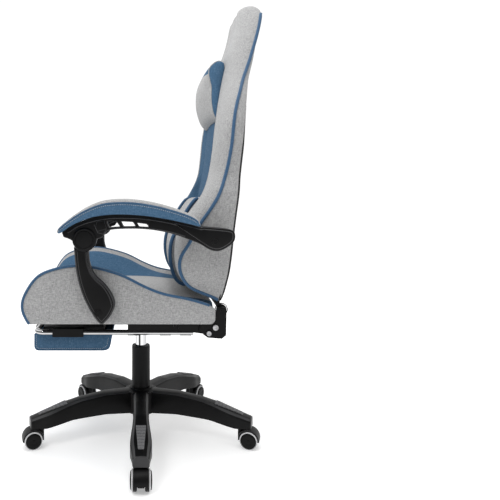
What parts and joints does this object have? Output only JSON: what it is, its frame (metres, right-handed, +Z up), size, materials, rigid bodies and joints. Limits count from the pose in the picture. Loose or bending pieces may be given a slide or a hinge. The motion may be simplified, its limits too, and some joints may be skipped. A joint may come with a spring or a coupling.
{
  "type": "gaming chair",
  "caption": "High-back bucket gaming chair on a star base with castors, gas lift, reclining back with linked armrests, pillows and a sliding footrest that flips.",
  "frame": {"origin": "on the floor under the axis of the gas lift", "axes": "+Z up; the sitter faces -Y; +X is the sitter's left"},
  "size_m": [0.699, 0.6766, 1.25],
  "materials": {
    "black_plastic": "fine moulded texture, satin",
    "castor_plastic": "smooth nylon, satin",
    "grey_plastic": "coarse anti-slip texture",
    "black_steel": "black powder coat",
    "steel": "bright zinc plated",
    "chrome": "polished chrome",
    "webbing": "woven elastic webbing",
    "grey_fabric": "light grey heathered woven cloth",
    "blue_fabric": "denim blue woven cloth with stitched seams",
    "black_fabric": "black backing cloth"
  },
  "bodies": {
    "base": {"star_base": "black_plastic", "leg_inserts": "grey_plastic", "column_tube": "black_steel", "column_clip": "steel", "guide_bush": "black_plastic", "column_bearing": "steel", "piston_rod": "steel"},
    "gas_lift": {"gas_cylinder": "chrome"},
    "seat": {"mechanism": "black_steel", "seat_frame": "black_steel", "seat_webbing": "webbing", "seat_cushion": "grey_fabric", "recliner_plates": "black_steel", "recliner_covers": "black_plastic", "seat_fasteners": "steel", "footrest_guides": "black_plastic"},
    "height_lever": {"height_lever": "black_steel"},
    "recline_lever": {"recline_lever": "black_steel"},
    "footrest": {"footrest_frame": "chrome", "footrest_hinge": "steel"},
    "footrest_pad": {"footrest_board": "black_plastic", "footrest_pad": "blue_fabric"},
    "back": {"back_frame": "black_steel", "back_brackets": "black_steel", "recliner_springs": "black_steel", "backrest_cushion": "grey_fabric", "back_panel": "black_fabric", "lumbar_pillow": "grey_fabric", "head_pillow": "grey_fabric", "rear_arm_bolts": "steel"},
    "arm_support_left": {"arm_support_left": "black_plastic"},
    "armrest_left": {"arm_frame_left": "black_plastic", "arm_pad_left": "blue_fabric", "arm_pivot_pin_left": "steel"},
    "arm_support_right": {"arm_support_right": "black_plastic"},
    "armrest_right": {"arm_frame_right": "black_plastic", "arm_pad_right": "blue_fabric", "arm_pivot_pin_right": "steel"},
    "castor_1": {"castor_hood_1": "black_plastic", "castor_pins_1": "steel"},
    "wheel_1_a": {"wheel_1_a": "castor_plastic"},
    "wheel_1_b": {"wheel_1_b": "castor_plastic"},
    "castor_2": {"castor_hood_2": "black_plastic", "castor_pins_2": "steel"},
    "wheel_2_a": {"wheel_2_a": "castor_plastic"},
    "wheel_2_b": {"wheel_2_b": "castor_plastic"},
    "castor_3": {"castor_hood_3": "black_plastic", "castor_pins_3": "steel"},
    "wheel_3_a": {"wheel_3_a": "castor_plastic"},
    "wheel_3_b": {"wheel_3_b": "castor_plastic"},
    "castor_4": {"castor_hood_4": "black_plastic", "castor_pins_4": "steel"},
    "wheel_4_a": {"wheel_4_a": "castor_plastic"},
    "wheel_4_b": {"wheel_4_b": "castor_plastic"},
    "castor_5": {"castor_hood_5": "black_plastic", "castor_pins_5": "steel"},
    "wheel_5_a": {"wheel_5_a": "castor_plastic"},
    "wheel_5_b": {"wheel_5_b": "castor_plastic"}
  },
  "joints": [
    {"name": "lift", "type": "slide", "parent": "base", "child": "gas_lift", "axis": [0, 0, 1], "range_m": [-0.01, 0.085]},
    {"name": "swivel", "type": "hinge", "parent": "gas_lift", "child": "seat", "pos_m": [0, 0, 0.304], "axis": [0, 0, 1], "continuous": true},
    {"name": "height_lever_lift", "type": "hinge", "parent": "seat", "child": "height_lever", "pos_m": [-0.042, 0, 0.36], "axis": [0, 1, 0], "range_deg": [0, 8], "stiffness_Nm_per_rad": 3, "springref_deg": -8.59},
    {"name": "recline_lever_pull", "type": "hinge", "parent": "seat", "child": "recline_lever", "pos_m": [-0.264, 0.208, 0.412], "axis": [-1, 0, 0], "range_deg": [0, 25], "stiffness_Nm_per_rad": 2, "springref_deg": -11.46},
    {"name": "footrest_slide", "type": "slide", "parent": "seat", "child": "footrest", "axis": [0, -1, 0], "range_m": [0, 0.14]},
    {"name": "footrest_flip", "type": "hinge", "parent": "footrest", "child": "footrest_pad", "pos_m": [0, -0.3, 0.328], "axis": [-1, 0, 0], "range_deg": [0, 180]},
    {"name": "recline", "type": "hinge", "parent": "seat", "child": "back", "pos_m": [0, 0.208, 0.412], "axis": [-1, 0, 0], "range_deg": [0, 56]},
    {"name": "arm_support_left_turn", "type": "hinge", "parent": "seat", "child": "arm_support_left", "pos_m": [0.27, -0.106, 0.417], "axis": [-1, 0, 0], "range_deg": [0, 56]},
    {"name": "armrest_left_turn", "type": "hinge", "parent": "arm_support_left", "child": "armrest_left", "pos_m": [0.274, -0.136, 0.6], "axis": [-1, 0, 0], "range_deg": [-56, 0]},
    {"name": "arm_support_right_turn", "type": "hinge", "parent": "seat", "child": "arm_support_right", "pos_m": [-0.27, -0.106, 0.417], "axis": [-1, 0, 0], "range_deg": [0, 56]},
    {"name": "armrest_right_turn", "type": "hinge", "parent": "arm_support_right", "child": "armrest_right", "pos_m": [-0.274, -0.136, 0.6], "axis": [-1, 0, 0], "range_deg": [-56, 0]},
    {"name": "castor_1_swivel", "type": "hinge", "parent": "base", "child": "castor_1", "pos_m": [0.297, 0, 0.05], "axis": [0, 0, 1], "continuous": true},
    {"name": "wheel_1_a_roll", "type": "hinge", "parent": "castor_1", "child": "wheel_1_a", "pos_m": [0.32, 0, 0.025], "axis": [0, 1, 0], "continuous": true},
    {"name": "wheel_1_b_roll", "type": "hinge", "parent": "castor_1", "child": "wheel_1_b", "pos_m": [0.32, 0, 0.025], "axis": [0, 1, 0], "continuous": true},
    {"name": "castor_2_swivel", "type": "hinge", "parent": "base", "child": "castor_2", "pos_m": [0.09178, 0.28246, 0.05], "axis": [0, 0, 1], "continuous": true},
    {"name": "wheel_2_a_roll", "type": "hinge", "parent": "castor_2", "child": "wheel_2_a", "pos_m": [0.09889, 0.30434, 0.025], "axis": [-0.9511, 0.309, 0], "continuous": true},
    {"name": "wheel_2_b_roll", "type": "hinge", "parent": "castor_2", "child": "wheel_2_b", "pos_m": [0.09889, 0.30434, 0.025], "axis": [-0.9511, 0.309, 0], "continuous": true},
    {"name": "castor_3_swivel", "type": "hinge", "parent": "base", "child": "castor_3", "pos_m": [-0.24028, 0.17457, 0.05], "axis": [0, 0, 1], "continuous": true},
    {"name": "wheel_3_a_roll", "type": "hinge", "parent": "castor_3", "child": "wheel_3_a", "pos_m": [-0.25888, 0.18809, 0.025], "axis": [-0.5878, -0.809, 0], "continuous": true},
    {"name": "wheel_3_b_roll", "type": "hinge", "parent": "castor_3", "child": "wheel_3_b", "pos_m": [-0.25888, 0.18809, 0.025], "axis": [-0.5878, -0.809, 0], "continuous": true},
    {"name": "castor_4_swivel", "type": "hinge", "parent": "base", "child": "castor_4", "pos_m": [-0.24028, -0.17457, 0.05], "axis": [0, 0, 1], "continuous": true},
    {"name": "wheel_4_a_roll", "type": "hinge", "parent": "castor_4", "child": "wheel_4_a", "pos_m": [-0.25888, -0.18809, 0.025], "axis": [0.5878, -0.809, 0], "continuous": true},
    {"name": "wheel_4_b_roll", "type": "hinge", "parent": "castor_4", "child": "wheel_4_b", "pos_m": [-0.25888, -0.18809, 0.025], "axis": [0.5878, -0.809, 0], "continuous": true},
    {"name": "castor_5_swivel", "type": "hinge", "parent": "base", "child": "castor_5", "pos_m": [0.09178, -0.28246, 0.05], "axis": [0, 0, 1], "continuous": true},
    {"name": "wheel_5_a_roll", "type": "hinge", "parent": "castor_5", "child": "wheel_5_a", "pos_m": [0.09889, -0.30434, 0.025], "axis": [0.9511, 0.309, 0], "continuous": true},
    {"name": "wheel_5_b_roll", "type": "hinge", "parent": "castor_5", "child": "wheel_5_b", "pos_m": [0.09889, -0.30434, 0.025], "axis": [0.9511, 0.309, 0], "continuous": true}
  ],
  "couplings": [
    {"joint": "arm_support_left_turn", "follows": "recline", "ratio": 1},
    {"joint": "armrest_left_turn", "follows": "recline", "ratio": -1},
    {"joint": "arm_support_right_turn", "follows": "recline", "ratio": 1},
    {"joint": "armrest_right_turn", "follows": "recline", "ratio": -1}
  ]
}
